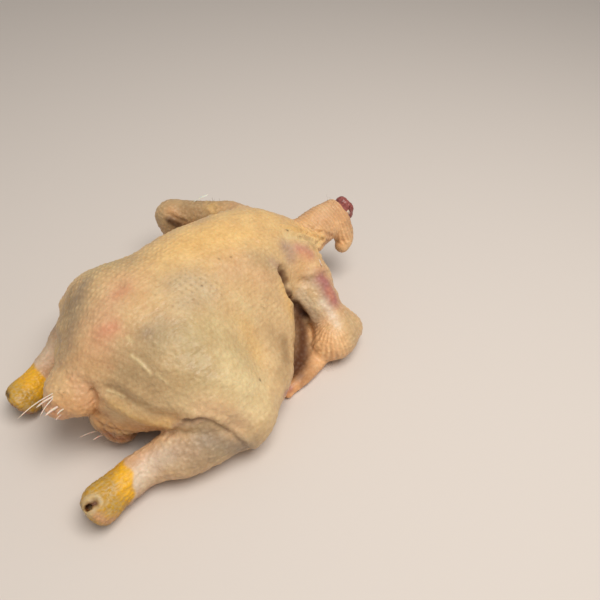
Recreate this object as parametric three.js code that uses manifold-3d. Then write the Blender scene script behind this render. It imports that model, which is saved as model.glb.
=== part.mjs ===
// A whole raw chicken with its neck, lying on its breast with its back up.
// Millimetres: x runs to the bird's right, y towards the neck and z up from the surface that it lies on.
// The flesh is a distance field of ellipsoids and tapered limbs that run softly into each other.
// It is meshed on a grid, thinned out where it is smooth, and the feather stubs are joined on.

import * as THREE from "three";
import { mergeVertices } from "three/addons/utils/BufferGeometryUtils.js";
import Module from "manifold-3d";

const wasm = await Module();
wasm.setup();

// Driving dimensions
const trunkHalfWidth = 55;
const trunkHalfLength = 98;
const backHeight = 101;
const kneeSpread = 77;
const rightHockEnd = -140.5;
const leftHockEnd = -129;
const neckEnd = 162;

// Mesh
const cell = 3;
const wantedTriangles = 9700;
const evenness = 2e-4;
const gap = 0.6;

// Small features
const hockRounding = 11;
const tendonHoleRadius = 2.6;
const tendonHoleDepth = 4;
const stubSeat = 3;

const v = (x, y, z) => new THREE.Vector3(x, y, z);

// Blending of two distances over a width k
function blend(a, b, k) {
  const h = Math.max(k - Math.abs(a - b), 0) / k;
  return Math.min(a, b) - (h * h * k) / 4;
}

// A hollow of depth and width k where b cuts into a
function carve(a, b, k) {
  return -blend(-a, b, k);
}

const clamp01 = (t) => Math.min(1, Math.max(0, t));
const ease = (t) => clamp01(t) * clamp01(t) * (3 - 2 * clamp01(t));
const mix = (a, b, t) => a + (b - a) * t;

// An ellipsoid, turned by Euler angles in degrees
function ellipsoid(centre, radii, turn = [0, 0, 0]) {
  const turned = new THREE.Euler(...turn.map(THREE.MathUtils.degToRad));
  const m = new THREE.Matrix4().makeRotationFromEuler(turned).invert().elements;
  const [rx, ry, rz] = radii;
  return (x, y, z) => {
    const dx = x - centre.x;
    const dy = y - centre.y;
    const dz = z - centre.z;
    const px = (m[0] * dx + m[4] * dy + m[8] * dz) / rx;
    const py = (m[1] * dx + m[5] * dy + m[9] * dz) / ry;
    const pz = (m[2] * dx + m[6] * dy + m[10] * dz) / rz;
    const k0 = Math.sqrt(px * px + py * py + pz * pz);
    const k1 = Math.sqrt((px * px) / (rx * rx) + (py * py) / (ry * ry) + (pz * pz) / (rz * rz));
    return k1 > 1e-9 ? (k0 * (k0 - 1)) / k1 : -Math.min(rx, ry, rz);
  };
}

// A limb along a smooth curve through points, each with its own radius; flat squeezes it along one axis
function limb(points, radii, flat = null) {
  const curve = new THREE.CatmullRomCurve3(points, false, "centripetal");
  const steps = 4 * (points.length - 1);
  const spots = [];
  for (let i = 0; i <= steps; i++) {
    const t = i / steps;
    const place = t * (points.length - 1);
    const j = Math.min(Math.floor(place), points.length - 2);
    spots.push([curve.getPoint(t), mix(radii[j], radii[j + 1], ease(place - j))]);
  }
  const ax = flat ? flat.axis.clone().normalize() : null;
  return (x, y, z) => {
    let best = Infinity;
    for (let i = 0; i < steps; i++) {
      const [a, ra] = spots[i];
      const [b, rb] = spots[i + 1];
      const bx = b.x - a.x;
      const by = b.y - a.y;
      const bz = b.z - a.z;
      let px = x - a.x;
      let py = y - a.y;
      let pz = z - a.z;
      const t = clamp01((px * bx + py * by + pz * bz) / (bx * bx + by * by + bz * bz));
      px -= t * bx;
      py -= t * by;
      pz -= t * bz;
      if (ax) {
        const s = (px * ax.x + py * ax.y + pz * ax.z) * (1 / flat.share - 1);
        px += s * ax.x;
        py += s * ax.y;
        pz += s * ax.z;
      }
      best = Math.min(best, Math.sqrt(px * px + py * py + pz * pz) - mix(ra, rb, t));
    }
    return ax ? best * Math.max(flat.share, 0.6) : best;
  };
}

// Trunk
const trunk = ellipsoid(v(-2, -4, backHeight - 48), [trunkHalfWidth, trunkHalfLength, 48]);
const rump = ellipsoid(v(0, -44, 58), [53, 58, 39], [10, 0, 0]);
const back = ellipsoid(v(-13, 14, 62), [46, 56, 41]);
const shoulders = ellipsoid(v(-10, 57, 63), [38, 46, 37]);
const breasts = [-1, 1].map((side) => ellipsoid(v(side * 18, 12, 32), [45, 80, 36], [0, 0, side * 20]));
const chest = [-1, 1].map((side) => ellipsoid(v(side * 21, 40, 17), [39, 48, 25]));
const breastEdges = [-1, 1].map((side) => ellipsoid(v(side * 56, 45, 9), [14, 27, 11]));
const belly = ellipsoid(v(2, -66, 36), [34, 30, 24]);

// Legs: the thigh's back edge hangs over the drumstick
const thighs = [-1, 1].map((side) =>
  limb(
    [v(side * 38, -46, 56), v(side * 54, -42, 46), v(side * (kneeSpread - 3), -31, 27)],
    [34, 33, 22.5],
  ),
);
const hams = [-1, 1].map((side) =>
  limb([v(side * 30, -70, 50), v(side * 43, -64, 44), v(side * 56, -54, 43)], [23, 17, 16]),
);
const flankFold = limb([v(15, -95, 28), v(32, -82, 34), v(50, -62, 47)], [11, 10.5, 9]);

// A ridge of skin from each thigh to the shoulder, and the hollow between it and the wing
const flanks = [-1, 1].map((side) =>
  limb(
    [v(side * 76, -28, 25), v(side * 68, 4, 27), v(side * 54, 27, 35), v(side * 34, 48, 48)],
    [20, 18.5, 14, 12],
  ),
);
const armpits = [-1, 1].map((side) =>
  limb(
    [v(side * 42, 68, 66), v(side * 50, 62, 46), v(side * 64, 54, 28), v(side * 76, 44, 12)],
    [3, 7, 8, 8],
  ),
);
const drumsticks = [
  limb(
    [v(-kneeSpread, -34, 25), v(-72, -62, 21), v(-66, -88, 15), v(-58.5, -108, 12.5), v(-51, -134, 12)],
    [23, 19, 12.5, 12.5, 15],
  ),
  limb(
    [v(kneeSpread, -34, 25), v(70, -68, 21), v(57, -97, 15), v(55, -118, 13), v(56, -147, 12)],
    [21.5, 19, 12.5, 12.5, 15],
  ),
];
const hockCuts = [
  { at: v(-55, leftHockEnd, 12), way: v(-0.05, -0.85, -0.42).normalize() },
  { at: v(55, rightHockEnd, 12), way: v(-0.2, -0.85, -0.4).normalize() },
];
const beyondHock = ({ at, way }, x, y, z) => (x - at.x) * way.x + (y - at.y) * way.y + (z - at.z) * way.z;

// Wings: the right one lies close, the left one is raised and folded back
const rightWing = [v(10, 83, 55), v(29, 88, 48), v(44, 84, 38), v(60, 84, 26)];
const leftWing = [v(-30, 84, 60), v(-58, 92, 60), v(-84, 82, 57), v(-107, 70, 51)];
const wings = [limb(leftWing, [22, 15, 12, 14]), limb(rightWing, [22, 21, 18, 15])];
const knobs = [
  limb([v(-112, 66, 50), v(-104, 68, 34)], [13, 13]),
  limb([v(73, 92, 17), v(75, 76, 18), v(74, 67, 16)], [14, 17, 12]),
];
const tips = [
  limb([v(-107, 69, 38), v(-94, 70, 36), v(-70, 61, 41)], [13, 10, 8], { axis: v(0.3, 1, 0.4), share: 0.6 }),
  limb([v(72, 64, 8), v(75, 43, 6.5), v(77, 17, 4)], [8, 7.5, 4.5], { axis: v(0.5, 0, 1), share: 0.8 }),
];

// Neck: a sleeve of loose skin, whose cut end flares and hangs in a flap
const neck = limb([v(0, 84, 56), v(2, 114, 57), v(4, 136, 61)], [26, 17, 14]);
const sleeveShape = { axis: v(1, 0, 0.35), share: 0.7 };
const bell = limb([v(4, 134, 61), v(6, 150, 63), v(7, 166, 60)], [15, 16, 19], sleeveShape);
const flap = limb([v(11, 157, 50), v(16, 159, 42), v(17, 155, 37)], [9, 8, 7]);
const skinFold = limb([v(9, 112, 50), v(8, 128, 51)], [9, 6]);
const opening = limb([v(6, 155, 61), v(7, 172, 60)], [11.5, 15], sleeveShape);

// Tail and the folds of the vent under it
const tailShape = { axis: v(0, 0.3, 1), share: 0.66 };
const tail = limb([v(0, -78, 56), v(0, -98, 52), v(-1, -114, 48)], [27, 23, 13], tailShape);
const ventFold = ellipsoid(v(15, -90, 16), [17, 12, 12]);

// Creases in the skin, each along a curve on the surface, with its depth and half width
const creases = [
  [[v(17.6, -101.1, 63.1), v(19.9, -102.5, 57.3), v(17.6, -102.7, 43)], 2.4, 5],
  [[v(38.4, 72.4, 58.6), v(43.7, 76.9, 58.9), v(47.3, 87.1, 59.9), v(47.3, 98, 56)], 2, 3.5],
  [[v(76, -66, 50), v(87, -54.6, 42.3), v(95.9, -45.7, 36.1)], 2, 5],
].map(([points, depth, halfWidth]) => ({ line: limb(points, points.map(() => 0)), depth, halfWidth }));

function flesh(x, y, z) {
  let d = blend(trunk(x, y, z), rump(x, y, z), 20);
  d = blend(d, back(x, y, z), 16);
  d = blend(d, shoulders(x, y, z), 20);
  d = blend(d, breasts[0](x, y, z), 16);
  d = blend(d, breasts[1](x, y, z), 16);
  d = blend(d, Math.min(chest[0](x, y, z), chest[1](x, y, z)), 10);
  d = blend(d, Math.min(breastEdges[0](x, y, z), breastEdges[1](x, y, z)), 8);
  d = blend(d, belly(x, y, z), 16);
  d = blend(d, blend(neck(x, y, z), skinFold(x, y, z), 4), 20);
  const sleeve = blend(bell(x, y, z), flap(x, y, z), 5);
  d = blend(d, carve(sleeve, neckEnd - y - 0.3 * (z - 60), 2), 8);
  for (const side of [0, 1]) {
    d = blend(d, thighs[side](x, y, z), 18);
    d = blend(d, flanks[side](x, y, z), 14);
    d = blend(d, hams[side](x, y, z), 12);
    const kneeNear = ease((y + 62) / 30);
    const leg = carve(drumsticks[side](x, y, z), -beyondHock(hockCuts[side], x, y, z), hockRounding);
    d = blend(d, leg, mix(1.5, 10, kneeNear));
    d = carve(d, armpits[side](x, y, z), 8);
    const whole = blend(blend(wings[side](x, y, z), knobs[side](x, y, z), 8), tips[side](x, y, z), 4);
    const rootNear = ease((54 - Math.abs(x)) / 26);
    d = blend(d, whole, mix(4, 14, rootNear));
  }
  d = blend(d, flankFold(x, y, z), 10);
  d = blend(d, tail(x, y, z), 8);
  d = blend(d, ventFold(x, y, z), 5);
  for (const { line, depth, halfWidth } of creases) {
    const off = line(x, y, z) / halfWidth;
    if (off < 3) d += depth * Math.exp(-off * off);
  }
  return Math.max(d, -z);
}

// Where a field is zero inside a box, as triangles: each grid cell is split into six tetrahedra
function surfaceOf(field, low, high, size) {
  const count = ["x", "y", "z"].map((k) => Math.ceil((high[k] - low[k]) / size) + 1);
  const [nx, ny, nz] = count;
  const values = new Float32Array(nx * ny * nz);
  let n = 0;
  for (let k = 0; k < nz; k++)
    for (let j = 0; j < ny; j++)
      for (let i = 0; i < nx; i++) values[n++] = field(low.x + i * size, low.y + j * size, low.z + k * size);

  const corner = (id) => [id % nx, Math.floor(id / nx) % ny, Math.floor(id / (nx * ny))];
  const points = [];
  const made = new Map();
  function crossing(a, b) {
    const key = a < b ? a * values.length + b : b * values.length + a;
    if (made.has(key)) return made.get(key);
    const t = Math.min(0.94, Math.max(0.06, values[a] / (values[a] - values[b])));
    const p = corner(a);
    const q = corner(b);
    const at = p.map((c, axis) => [low.x, low.y, low.z][axis] + size * mix(c, q[axis], t));
    made.set(key, points.length / 3);
    points.push(...at);
    return points.length / 3 - 1;
  }

  const paths = [[1, 2], [1, 4], [2, 1], [2, 4], [4, 1], [4, 2]];
  const faces = [];
  const offset = (bits) => (bits & 1) + (bits & 2 ? nx : 0) + (bits & 4 ? nx * ny : 0);
  for (let k = 0; k < nz - 1; k++)
    for (let j = 0; j < ny - 1; j++)
      for (let i = 0; i < nx - 1; i++) {
        const base = i + nx * (j + ny * k);
        let insideCount = 0;
        for (let c = 0; c < 8; c++) insideCount += values[base + offset(c)] < 0;
        if (insideCount === 0 || insideCount === 8) continue;
        for (const [a, b] of paths)
          addTetrahedron([base, base + offset(a), base + offset(a | b), base + offset(7)]);
      }

  function addTetrahedron(tet) {
    const inside = tet.filter((id) => values[id] < 0);
    const outside = tet.filter((id) => values[id] >= 0);
    if (inside.length === 0 || inside.length === 4) return;
    let loop;
    if (inside.length === 2)
      loop = [
        crossing(inside[0], outside[0]),
        crossing(inside[0], outside[1]),
        crossing(inside[1], outside[1]),
        crossing(inside[1], outside[0]),
      ];
    else {
      const [one] = inside.length === 1 ? inside : outside;
      const rest = inside.length === 1 ? outside : inside;
      loop = rest.map((id) => crossing(one, id));
    }
    const [ix, iy, iz] = corner(inside[0]);
    const [ox, oy, oz] = corner(outside[0]);
    const at = (n, axis) => points[3 * n + axis];
    const e1 = [0, 1, 2].map((axis) => at(loop[1], axis) - at(loop[0], axis));
    const e2 = [0, 1, 2].map((axis) => at(loop[2], axis) - at(loop[0], axis));
    const nrm = [e1[1] * e2[2] - e1[2] * e2[1], e1[2] * e2[0] - e1[0] * e2[2], e1[0] * e2[1] - e1[1] * e2[0]];
    if (nrm[0] * (ox - ix) + nrm[1] * (oy - iy) + nrm[2] * (oz - iz) < 0) loop.reverse();
    faces.push([loop[0], loop[1], loop[2]]);
    if (loop.length === 4) faces.push([loop[0], loop[2], loop[3]]);
  }
  return { points, faces };
}

// Evens out the spacing of the vertices, which stay on the surface of the field
function evenOut({ points, faces }, field, rounds) {
  const count = points.length / 3;
  for (let round = 0; round < rounds; round++) {
    const sums = new Float64Array(points.length);
    const near = new Uint16Array(count);
    for (const face of faces)
      for (let i = 0; i < 3; i++) {
        const [from, to] = [face[i], face[(i + 1) % 3]];
        near[from]++;
        for (let axis = 0; axis < 3; axis++) sums[3 * from + axis] += points[3 * to + axis];
      }
    for (let n = 0; n < count; n++) {
      const at = [0, 1, 2].map((axis) => mix(points[3 * n + axis], sums[3 * n + axis] / near[n], 0.7));
      const here = field(...at);
      const h = 0.05;
      const beside = (axis) => field(...at.map((c, i) => (i === axis ? c + h : c)));
      const slope = [0, 1, 2].map((axis) => (beside(axis) - here) / h);
      const steep = Math.max(0.2, slope.reduce((sum, c) => sum + c * c, 0));
      at.forEach((c, axis) => (points[3 * n + axis] = c - (here * slope[axis]) / steep));
    }
  }
  return { points, faces };
}

// Joins vertices along the edges that matter least, by quadric error, until the wanted number
// of triangles is left
function thinOut({ points, faces }, wanted) {
  const quadrics = new Float64Array((points.length / 3) * 10);
  const around = Array.from({ length: points.length / 3 }, () => new Set());
  const alive = new Uint8Array(faces.length).fill(1);
  const stamp = new Uint32Array(points.length / 3);
  let left = faces.length;

  const normalOf = (p, q, r) => {
    const ux = q[0] - p[0];
    const uy = q[1] - p[1];
    const uz = q[2] - p[2];
    const wx = r[0] - p[0];
    const wy = r[1] - p[1];
    const wz = r[2] - p[2];
    return [uy * wz - uz * wy, uz * wx - ux * wz, ux * wy - uy * wx];
  };
  const place = (n) => [points[3 * n], points[3 * n + 1], points[3 * n + 2]];

  faces.forEach((face, f) => {
    const [p, q, r] = face.map(place);
    const n = normalOf(p, q, r);
    const area = Math.hypot(...n);
    if (area > 1e-12) {
      const [a, b, c] = n.map((x) => x / area);
      const d = -(a * p[0] + b * p[1] + c * p[2]);
      const terms = [a * a, a * b, a * c, a * d, b * b, b * c, b * d, c * c, c * d, d * d];
      for (const n3 of face) terms.forEach((t, i) => (quadrics[10 * n3 + i] += t * area));
    }
    for (const n3 of face) around[n3].add(f);
  });

  function errorAt(a, b, [x, y, z]) {
    let e = 0;
    const terms = [x * x, 2 * x * y, 2 * x * z, 2 * x, y * y, 2 * y * z, 2 * y, z * z, 2 * z, 1];
    for (let i = 0; i < 10; i++) e += (quadrics[10 * a + i] + quadrics[10 * b + i]) * terms[i];
    return e;
  }
  function best(a, b) {
    const p = place(a);
    const q = place(b);
    const middle = p.map((c, i) => (c + q[i]) / 2);
    const length2 = (p[0] - q[0]) ** 2 + (p[1] - q[1]) ** 2 + (p[2] - q[2]) ** 2;
    let cost = Infinity;
    let at = middle;
    for (const option of [middle, p, q]) {
      const e = errorAt(a, b, option);
      if (e < cost) {
        cost = e;
        at = option;
      }
    }
    return { cost: cost + evenness * length2 * length2, at };
  }

  const heap = [];
  const lighter = (i, j) => heap[i].cost < heap[j].cost;
  const swap = (i, j) => ([heap[i], heap[j]] = [heap[j], heap[i]]);
  function push(item) {
    heap.push(item);
    for (let i = heap.length - 1; i > 0 && lighter(i, (i - 1) >> 1); i = (i - 1) >> 1) swap(i, (i - 1) >> 1);
  }
  function pop() {
    swap(0, heap.length - 1);
    const top = heap.pop();
    for (let i = 0; ; ) {
      let small = i;
      for (const child of [2 * i + 1, 2 * i + 2])
        if (child < heap.length && lighter(child, small)) small = child;
      if (small === i) return top;
      swap(i, small);
      i = small;
    }
  }
  const offer = (a, b) => push({ a, b, sa: stamp[a], sb: stamp[b], ...best(a, b) });
  const neighbours = (n) => new Set([...around[n]].flatMap((f) => faces[f].filter((m) => m !== n)));

  let passStart = left;
  function offerAll() {
    faces.forEach(([a, b, c], f) => {
      if (!alive[f]) return;
      for (const [p, q] of [[a, b], [b, c], [c, a]]) if (p < q) offer(p, q);
    });
  }
  offerAll();

  // Twice a triangle's area over the square of its longest side
  function roundness([p, q, r], normal) {
    const side = (s, t) => Math.hypot(s[0] - t[0], s[1] - t[1], s[2] - t[2]);
    return Math.hypot(...normal) / Math.max(side(p, q), side(q, r), side(r, p)) ** 2;
  }

  // A face must keep facing its way and must not turn into a sliver
  function turnsOver(n, other, at) {
    for (const f of around[n]) {
      const face = faces[f];
      if (face.includes(other)) continue;
      const before = normalOf(...face.map(place));
      const corners = face.map((m) => (m === n ? at : place(m)));
      const after = normalOf(...corners);
      const sizes = Math.hypot(...before) * Math.hypot(...after);
      const dot = before[0] * after[0] + before[1] * after[1] + before[2] * after[2];
      if (dot < 0.3 * sizes || sizes < 1e-9) return true;
      if (roundness(corners, after) < Math.min(0.15, 0.95 * roundness(face.map(place), before))) return true;
    }
    return false;
  }

  while (left > wanted) {
    if (!heap.length) {
      if (left === passStart) break;
      passStart = left;
      offerAll();
    }
    const { a, b, sa, sb, at } = pop();
    if (stamp[a] !== sa || stamp[b] !== sb || !around[a].size || !around[b].size) continue;
    const nearB = neighbours(b);
    const shared = [...neighbours(a)].filter((n) => nearB.has(n));
    if (shared.length !== 2 || turnsOver(a, b, at) || turnsOver(b, a, at)) continue;
    for (const f of [...around[b]]) {
      if (faces[f].includes(a)) {
        alive[f] = 0;
        left--;
        for (const n of faces[f]) around[n].delete(f);
      } else {
        faces[f] = faces[f].map((n) => (n === b ? a : n));
        around[a].add(f);
      }
    }
    around[b].clear();
    at.forEach((c, i) => (points[3 * a + i] = c));
    for (let i = 0; i < 10; i++) quadrics[10 * a + i] += quadrics[10 * b + i];
    stamp[a]++;
    for (const n of neighbours(a)) offer(a, n);
  }
  return { points, faces: faces.filter((_, f) => alive[f]) };
}

function solidOfGeometry(geometry) {
  geometry.deleteAttribute("normal");
  geometry.deleteAttribute("uv");
  const merged = mergeVertices(geometry.index ? geometry.toNonIndexed() : geometry, 1e-4);
  const mesh = new wasm.Mesh({
    numProp: 3,
    vertProperties: merged.attributes.position.array,
    triVerts: new Uint32Array(merged.index.array),
  });
  return new wasm.Manifold(mesh);
}

function solidOf({ points, faces }) {
  const g = new THREE.BufferGeometry();
  g.setAttribute("position", new THREE.Float32BufferAttribute(points, 3));
  g.setIndex(faces.flat());
  return solidOfGeometry(g);
}

// The flesh of the neck runs from the shoulders to its cut end, where it stands out of the skin in lumps
const neckCore = limb([v(0, 90, 57), v(3, 118, 58), v(5.5, 145, 62), v(6, 163, 64)], [8, 8, 8, 8.5]);
const lumps = [
  ellipsoid(v(2.5, 169, 68), [7, 5, 6.5]),
  ellipsoid(v(8, 170, 65.5), [6, 5, 6]),
  ellipsoid(v(11, 169, 60), [3.5, 4, 3.5]),
  ellipsoid(v(4, 169, 60), [6.5, 4, 6]),
];
function neckMeat(x, y, z) {
  return lumps.reduce((d, lump) => blend(d, lump(x, y, z), 2), neckCore(x, y, z));
}

function solidFrom(field, low, high, size, triangles) {
  return solidOf(thinOut(evenOut(surfaceOf(field, low, high, size), field, 4), triangles));
}

const neckLow = v(-16, 76, 38);
const neckHigh = v(34, 194, 92);
const sleeveHollow = solidFrom(opening, neckLow, neckHigh, 2, 400);
const neckSpace = solidFrom((x, y, z) => neckMeat(x, y, z) - gap, neckLow, neckHigh, 1.6, 700);
const meat = solidFrom(neckMeat, neckLow, neckHigh, 1.6, 900);
const skinned = solidFrom(flesh, v(-150, -160, -1.5), v(125, 215, 130), cell, wantedTriangles);

// The hole that a tendon has left in the end of the right leg
const facing = (way) => new THREE.Quaternion().setFromUnitVectors(v(0, 1, 0), way);
const holeShape = new THREE.SphereGeometry(1, 12, 7);
holeShape.scale(tendonHoleRadius, tendonHoleDepth, tendonHoleRadius);
holeShape.applyQuaternion(facing(v(0.1, -0.75, 0.65).normalize())).translate(58.5, -141, 22.5);
const tendonHole = solidOfGeometry(holeShape);

// Feather stubs left in the skin: root, tip and radius at the root
const stubs = [
  [v(0.6, -118.8, 62.3), v(0.1, -143.2, 59.8), 0.55],
  [v(2.1, -119.6, 61.4), v(1.3, -131.4, 60.4), 0.95],
  [v(2.8, -119.8, 61.1), v(6.2, -132.4, 57.7), 0.55],
  [v(7.2, -121.2, 56.8), v(7.7, -130.2, 56.8), 1.1],
  [v(10.9, -119.5, 56.5), v(12.7, -124.8, 57.6), 0.7],
  [v(9.8, -121.4, 51.6), v(11.8, -126.3, 52.7), 0.7],
  [v(14.8, -101.4, 19.1), v(9.9, -116.1, 21.3), 0.55],
  [v(17, -101.8, 17), v(15.9, -110.3, 18), 0.8],
  [v(38.8, 95.6, 64.8), v(43.4, 93, 64.6), 0.7],
  [v(-93.8, 81.5, 67.1), v(-87.1, 91.2, 72.2), 1.2],
].map(([rootPoint, tip, radius]) => {
  const way = tip.clone().sub(rootPoint);
  const length = way.length() + stubSeat;
  const stub = new THREE.CylinderGeometry(radius * 0.5, radius, length, 6);
  stub.translate(0, length / 2 - stubSeat, 0).applyQuaternion(facing(way.normalize()));
  return solidOfGeometry(stub.translate(rootPoint.x, rootPoint.y, rootPoint.z));
});

let body = skinned;
for (const hollow of [sleeveHollow, neckSpace, tendonHole]) body = body.subtract(hollow);
for (const stub of stubs) body = body.add(stub);

// The origin lies in the middle under the whole bird
const { min, max } = body.add(meat).boundingBox();
const toOrigin = [-(min[0] + max[0]) / 2, -(min[1] + max[1]) / 2, -min[2]];

function geometryOf(solid) {
  const m = solid.getMesh();
  const g = new THREE.BufferGeometry();
  g.setAttribute("position", new THREE.Float32BufferAttribute(m.vertProperties, 3));
  g.setIndex(new THREE.Uint32BufferAttribute(m.triVerts, 1));
  g.computeVertexNormals();
  return g;
}

const root = new THREE.Group();
function addNode(name, solid, color, roughness) {
  const material = new THREE.MeshStandardMaterial({ color, roughness, metalness: 0 });
  const mesh = new THREE.Mesh(geometryOf(solid), material);
  mesh.name = name;
  root.add(mesh);
}
addNode("chicken", body.translate(toOrigin), 0xd9b98c, 0.45);
addNode("neck_flesh", meat.translate(toOrigin), 0x7a3434, 0.4);
export default root;
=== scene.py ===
# A whole raw chicken, lying on its breast with its back up, built over the imported CAD part.
# Metres, in the frame of the CAD: x to the bird's right, y to the neck, z up from the floor.
# The skin starts as the CAD solid, made fine and smooth. Folds, feather bumps, ribs and scales are
# raised in the mesh itself. Its colours are brushed on as a vertex colour, which the material mottles.
# Some of that colour is painted shade, in creases, recesses and under the hocks, and some is painted
# highlight and painted light, on ridges, wet spots and shaded parts.

import math

import bmesh
import bpy
import numpy as np
from mathutils import Matrix, Vector
from mathutils.bvhtree import BVHTree


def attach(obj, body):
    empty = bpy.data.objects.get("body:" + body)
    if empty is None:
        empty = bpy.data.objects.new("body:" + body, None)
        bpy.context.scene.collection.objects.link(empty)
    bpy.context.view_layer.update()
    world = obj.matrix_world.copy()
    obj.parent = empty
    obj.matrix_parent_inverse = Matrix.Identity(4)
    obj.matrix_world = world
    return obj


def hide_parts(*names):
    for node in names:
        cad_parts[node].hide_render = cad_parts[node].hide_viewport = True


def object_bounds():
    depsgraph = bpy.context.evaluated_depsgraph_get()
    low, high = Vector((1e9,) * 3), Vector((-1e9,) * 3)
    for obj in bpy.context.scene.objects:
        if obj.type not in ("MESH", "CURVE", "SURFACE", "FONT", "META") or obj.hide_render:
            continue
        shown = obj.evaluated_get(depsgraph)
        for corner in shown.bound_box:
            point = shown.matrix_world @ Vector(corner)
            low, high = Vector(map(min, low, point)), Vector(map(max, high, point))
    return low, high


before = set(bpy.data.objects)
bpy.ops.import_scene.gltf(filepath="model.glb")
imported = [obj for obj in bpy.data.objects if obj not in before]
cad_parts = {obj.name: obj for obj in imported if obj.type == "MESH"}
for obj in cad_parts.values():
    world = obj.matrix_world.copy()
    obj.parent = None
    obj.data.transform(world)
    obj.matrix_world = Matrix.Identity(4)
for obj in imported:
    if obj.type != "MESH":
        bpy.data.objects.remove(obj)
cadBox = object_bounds()
mm = 0.001
toOrigin = np.array((11.873, -15.154, 0.0))  # millimetres from the source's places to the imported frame


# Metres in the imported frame, from millimetres in the part's source
def placed(point):
    return (np.array(point, float) + toOrigin) * mm


# Camera, where the photograph was taken from

view = {
    "place": (265.04, -200.96, 365.0),
    "looksAt": (33.11, 79.87, 30.0),
    "roll": -2.765,  # degrees
    "lens": 36.0,  # on a sensor as wide
    "pictureSide": 600,
}


def makeCamera():
    data = bpy.data.cameras.new("camera")
    data.lens = view["lens"]
    data.sensor_width = view["lens"]
    camera = bpy.data.objects.new("camera", data)
    bpy.context.scene.collection.objects.link(camera)
    place = Vector(placed(view["place"]))
    turn = (Vector(placed(view["looksAt"])) - place).to_track_quat("-Z", "Y").to_matrix()
    turn = turn @ Matrix.Rotation(math.radians(-view["roll"]), 3, "Z")
    camera.matrix_world = Matrix.Translation(place) @ turn.to_4x4()
    bpy.context.scene.camera = camera
    return place, turn


cameraPlace, cameraTurn = makeCamera()


# The way that a point of the photograph lies from the camera
def sightLine(x, y):
    half = view["pictureSide"] / 2
    return (cameraTurn @ Vector(((x - half) / half / 2, (half - y) / half / 2, -1))).normalized()


# Noise for whole arrays of points

lattice = np.random.default_rng(7).random((64, 64, 64, 3))


def latticeValue(cell, channel):
    a, b, c = (cell[..., axis] % 64 for axis in range(3))
    return lattice[a, b, c, channel]


# Smooth noise from -1 to 1, with features about as large as size
def softNoise(points, size, seed=0):
    q = points / size + 17.3 * seed
    cell = np.floor(q).astype(int)
    t = q - cell
    t = t * t * (3 - 2 * t)
    total = np.zeros(len(points))
    for corner in np.ndindex(2, 2, 2):
        share = np.prod(np.where(corner, t, 1 - t), axis=1)
        total += share * latticeValue(cell + corner, seed % 3)
    return total * 2 - 1


# Distances to the nearest and second nearest of points strewn about size apart
def strewn(points, size, seed=0):
    q = points / size + 9.1 * seed
    cell = np.floor(q).astype(int)
    first = np.full(len(points), 9.0)
    second = np.full(len(points), 9.0)
    for step in np.ndindex(3, 3, 3):
        there = cell + np.array(step) - 1
        centre = there + 0.15 + 0.7 * np.stack([latticeValue(there, k) for k in range(3)], axis=1)
        d = np.linalg.norm(q - centre, axis=1)
        second = np.where(d < first, first, np.minimum(second, d))
        first = np.minimum(first, d)
    return first, second


def ramp(low, high, value):
    t = np.clip((value - low) / (high - low), 0, 1)
    return t * t * (3 - 2 * t)


# 1 at 0, and falling off to both sides over about width
def bell(value, width):
    return np.exp(-((value / width) ** 2))


# A smooth line of points through the given ones, about step apart
def lineThrough(points, step=1.0 * mm):
    points = np.array(points, float)
    if len(points) == 1:
        return points
    ends = np.vstack([2 * points[0] - points[1], points, 2 * points[-1] - points[-2]])
    line = []
    for a, b, c, d in zip(ends, ends[1:], ends[2:], ends[3:]):
        count = max(2, int(np.linalg.norm(c - b) / step))
        t = np.linspace(0, 1, count, endpoint=False)[:, None]
        square, cube = 2 * a - 5 * b + 4 * c - d, 3 * b - a - 3 * c + d
        line.append(0.5 * (2 * b + (c - a) * t + square * t**2 + cube * t**3))
    return np.vstack(line + [points[-1:]])


def linearColour(code):
    parts = np.array([int(code[i : i + 2], 16) for i in (1, 3, 5)]) / 255
    return np.where(parts < 0.04045, parts / 12.92, ((parts + 0.055) / 1.055) ** 2.4)


# Meshes

def newPiece(name, mesh, material):
    piece = bpy.data.objects.new(name, mesh)
    bpy.context.scene.collection.objects.link(piece)
    mesh.materials.clear()
    mesh.materials.append(material)
    mesh.polygons.foreach_set("use_smooth", np.ones(len(mesh.polygons), bool))
    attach(piece, "root")
    return piece


def meshOf(points, faces, name):
    mesh = bpy.data.meshes.new(name)
    mesh.from_pydata([tuple(p) for p in points], [], faces)
    mesh.update()
    return mesh


# A closed mesh made anew in even cells
def remeshed(mesh, cell):
    holder = bpy.data.objects.new("holder", mesh)
    bpy.context.scene.collection.objects.link(holder)
    change = holder.modifiers.new("cells", "REMESH")
    change.mode = "VOXEL"
    change.voxel_size = cell
    changed = holder.evaluated_get(bpy.context.evaluated_depsgraph_get())
    fine = bpy.data.meshes.new_from_object(changed)
    bpy.data.objects.remove(holder)
    return fine


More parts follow.
